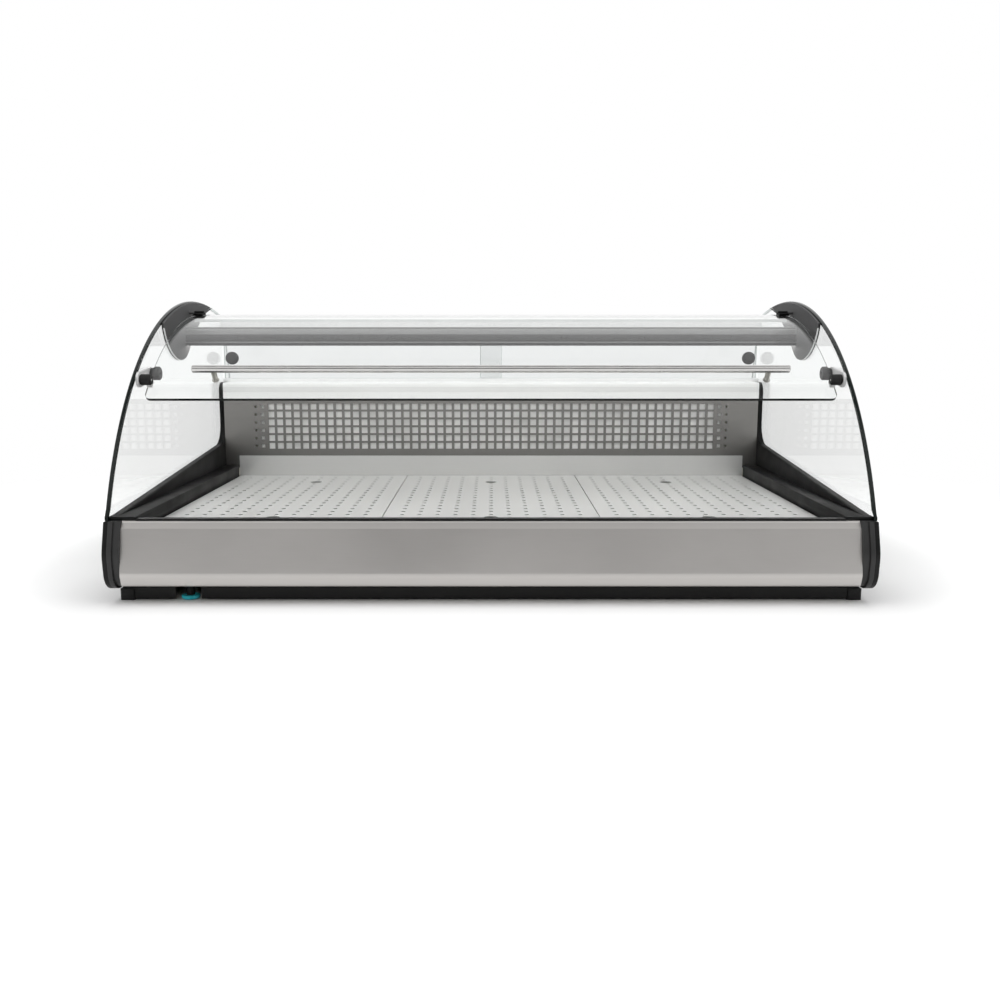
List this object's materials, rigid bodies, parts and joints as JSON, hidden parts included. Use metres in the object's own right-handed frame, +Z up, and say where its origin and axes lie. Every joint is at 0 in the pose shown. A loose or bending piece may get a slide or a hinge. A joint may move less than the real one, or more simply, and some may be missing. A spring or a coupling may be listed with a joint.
{
  "type": "refrigerated fish display case",
  "caption": "Counter-top refrigerated fish case: ice pan with lift-out deck trays under curved lifting glass, glass sides, lamp canopy, sliding rear doors and a rear evaporator.",
  "frame": {"origin": "on the counter, under the middle of the case's overall box", "axes": "+X to the customer's right along the width, -Y towards the customer, +Z up"},
  "size_m": [1.3, 0.8689, 0.526],
  "materials": {
    "runner_black": "black powder-coated steel",
    "cap_black": "black moulded plastic, fine satin grain",
    "moulding_black": "black moulded plastic, satin",
    "ear_grey": "dark grey moulded plastic, satin",
    "satin_sheet": "satin stainless sheet, brushed lengthwise",
    "foam": "rigid polyurethane foam, cream",
    "stainless": "stainless sheet, fine brushed",
    "screen_sheet": "perforated stainless sheet",
    "pipe_black": "black pipe plastic",
    "cap_turquoise": "turquoise plastic",
    "clear_glass": "clear tempered glass, polished edges",
    "polished_steel": "polished stainless steel",
    "clip_black": "black engineering plastic",
    "rubber_black": "black rubber",
    "bar_grey": "dark grey anodised extrusion",
    "rail_grey": "light grey anodised extrusion",
    "lamp_board": "white solder-masked lamp board",
    "diffuser_white": "opal lamp diffuser",
    "fin_aluminium": "bare aluminium fins",
    "fin_white": "white epoxy-coated fins and plate",
    "fan_white": "pale grey fan plastic",
    "fan_black": "black fan plastic",
    "compressor_black": "black painted steel shell",
    "copper": "bare copper tube",
    "rear_sheet": "grey powder-coated sheet",
    "control_black": "black control plastic",
    "display_dark": "smoked display window",
    "key_grey": "grey keys",
    "rocker_green": "green rocker",
    "rocker_black": "black rocker"
  },
  "bodies": {
    "case": {"base_runners": "runner_black", "base_plate": "runner_black", "left_end_cap": "cap_black", "right_end_cap": "cap_black", "front_edge_trim": "cap_black", "left_side_moulding": "moulding_black", "right_side_moulding": "moulding_black", "left_ear": "ear_grey", "right_ear": "ear_grey", "rest_plates": "ear_grey", "front_panel": "satin_sheet", "insulation": "foam", "ice_pan": "stainless", "rear_ledge": "stainless", "drip_tray": "stainless", "evaporator_panel": "screen_sheet", "drain_pipe": "pipe_black", "left_side_glass": "clear_glass", "right_side_glass": "clear_glass", "roof_glass": "clear_glass", "hinge_pins": "polished_steel", "panel_screws": "polished_steel", "glass_rests": "rubber_black", "compressor_mounts": "rubber_black", "canopy_bar": "bar_grey", "rear_top_rail": "rail_grey", "lower_door_track": "rail_grey", "led_board": "lamp_board", "lamp_diffuser": "diffuser_white", "condenser_coil": "fin_aluminium", "evaporator_coil": "fin_white", "evaporator_fan_frames": "fan_white", "condenser_fan_frame": "fan_black", "compressor": "compressor_black", "refrigerant_pipes": "copper", "filter_drier": "copper", "rear_panel": "rear_sheet", "controller": "control_black", "switch_housings": "control_black", "cable_gland": "control_black", "controller_display": "display_dark"},
    "front_glass": {"front_glass": "clear_glass", "glass_handle": "polished_steel", "hinge_clips": "clip_black", "glass_guides": "rubber_black"},
    "left_door": {"left_door": "clear_glass", "left_door_pull": "clip_black"},
    "right_door": {"right_door": "clear_glass", "right_door_pull": "clip_black"},
    "deck_tray_left": {"deck_tray_left": "stainless"},
    "deck_tray_middle": {"deck_tray_middle": "stainless"},
    "deck_tray_right": {"deck_tray_right": "stainless"},
    "drain_cap": {"drain_cap": "cap_turquoise"},
    "left_evaporator_fan": {"left_evaporator_fan": "fan_white"},
    "right_evaporator_fan": {"right_evaporator_fan": "fan_white"},
    "condenser_fan": {"condenser_fan": "fan_black"},
    "up_button": {"up_button": "key_grey"},
    "down_button": {"down_button": "key_grey"},
    "power_switch": {"power_switch": "rocker_green"},
    "light_switch": {"light_switch": "rocker_black"}
  },
  "joints": [
    {"name": "front_glass_lift", "type": "hinge", "parent": "case", "child": "front_glass", "pos_m": [0, 0.09, 0.50015], "axis": [-1, 0, 0], "range_deg": [0, 65]},
    {"name": "left_door_slide", "type": "slide", "parent": "case", "child": "left_door", "axis": [1, 0, 0], "range_m": [0, 0.6]},
    {"name": "right_door_slide", "type": "slide", "parent": "case", "child": "right_door", "axis": [-1, 0, 0], "range_m": [0, 0.6]},
    {"name": "deck_tray_left_lift", "type": "slide", "parent": "case", "child": "deck_tray_left", "axis": [0, 0, 1], "range_m": [0, 0.15]},
    {"name": "deck_tray_middle_lift", "type": "slide", "parent": "case", "child": "deck_tray_middle", "axis": [0, 0, 1], "range_m": [0, 0.15]},
    {"name": "deck_tray_right_lift", "type": "slide", "parent": "case", "child": "deck_tray_right", "axis": [0, 0, 1], "range_m": [0, 0.15]},
    {"name": "drain_cap_turn", "type": "hinge", "parent": "case", "child": "drain_cap", "pos_m": [-0.522, -0.373, 0.004], "axis": [0, 0, 1], "range_deg": [0, 90]},
    {"name": "left_evaporator_fan_spin", "type": "hinge", "parent": "case", "child": "left_evaporator_fan", "pos_m": [-0.25, 0.3815, 0.225], "axis": [0, 1, 0], "continuous": true},
    {"name": "right_evaporator_fan_spin", "type": "hinge", "parent": "case", "child": "right_evaporator_fan", "pos_m": [0.25, 0.3815, 0.225], "axis": [0, 1, 0], "continuous": true},
    {"name": "condenser_fan_spin", "type": "hinge", "parent": "case", "child": "condenser_fan", "pos_m": [0.29, 0.3845, 0.068], "axis": [0, 1, 0], "continuous": true},
    {"name": "up_button_press", "type": "slide", "parent": "case", "child": "up_button", "axis": [0, -1, 0], "range_m": [0, 0.0008], "stiffness_N_per_m": 600},
    {"name": "down_button_press", "type": "slide", "parent": "case", "child": "down_button", "axis": [0, -1, 0], "range_m": [0, 0.0008], "stiffness_N_per_m": 600},
    {"name": "power_switch_rock", "type": "hinge", "parent": "case", "child": "power_switch", "pos_m": [0.01, 0.428, 0.074], "axis": [-1, 0, 0], "range_deg": [0, 14]},
    {"name": "light_switch_rock", "type": "hinge", "parent": "case", "child": "light_switch", "pos_m": [-0.024, 0.428, 0.074], "axis": [-1, 0, 0], "range_deg": [0, 14]}
  ]
}
